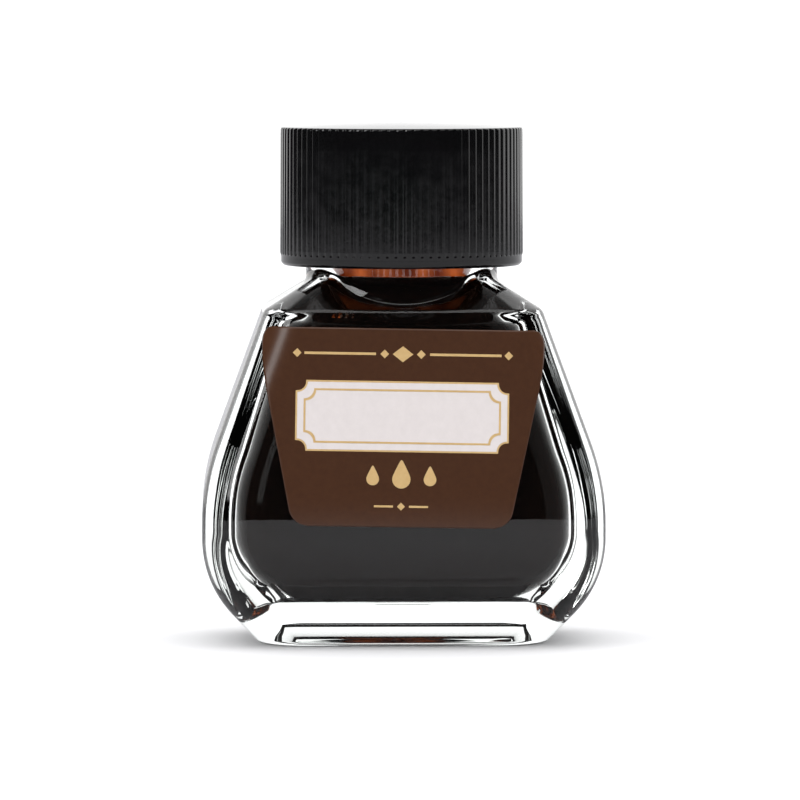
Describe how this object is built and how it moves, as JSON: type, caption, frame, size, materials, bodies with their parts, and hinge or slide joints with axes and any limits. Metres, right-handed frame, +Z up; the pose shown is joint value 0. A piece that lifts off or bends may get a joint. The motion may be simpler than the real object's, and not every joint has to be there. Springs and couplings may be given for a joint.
{
  "type": "ink bottle",
  "caption": "Heavy flared glass ink bottle with a ribbed screw cap, foam liner, ink filling and a paper front label; the cap unscrews and lifts off.",
  "frame": {"origin": "middle of the bottle's footprint, on the surface it stands on", "axes": "+Z up along the neck's axis, -Y out through the front label, +X to the right seen from the front"},
  "size_m": [0.051, 0.0346, 0.0661],
  "materials": {
    "glass": "clear, fire-polished",
    "ink": "liquid, wet gloss",
    "label": "printed paper, satin",
    "cap": "polished moulding",
    "liner": "soft foam"
  },
  "bodies": {
    "bottle": {"glass_bottle": "glass", "ink": "ink", "front_label": "label"},
    "liner": {"cap_liner": "liner"},
    "cap": {"screw_cap": "cap"}
  },
  "joints": [
    {"name": "cap_lift", "type": "slide", "parent": "bottle", "child": "liner", "axis": [0, 0, 1], "range_m": [0, 0.0189]},
    {"name": "cap_turn", "type": "hinge", "parent": "liner", "child": "cap", "pos_m": [0, 0, 0.055], "axis": [0, 0, 1], "range_deg": [0, 1620]}
  ],
  "couplings": [
    {"joint": "cap_lift", "follows": "cap_turn", "m_per_rad": 0.00066845}
  ]
}
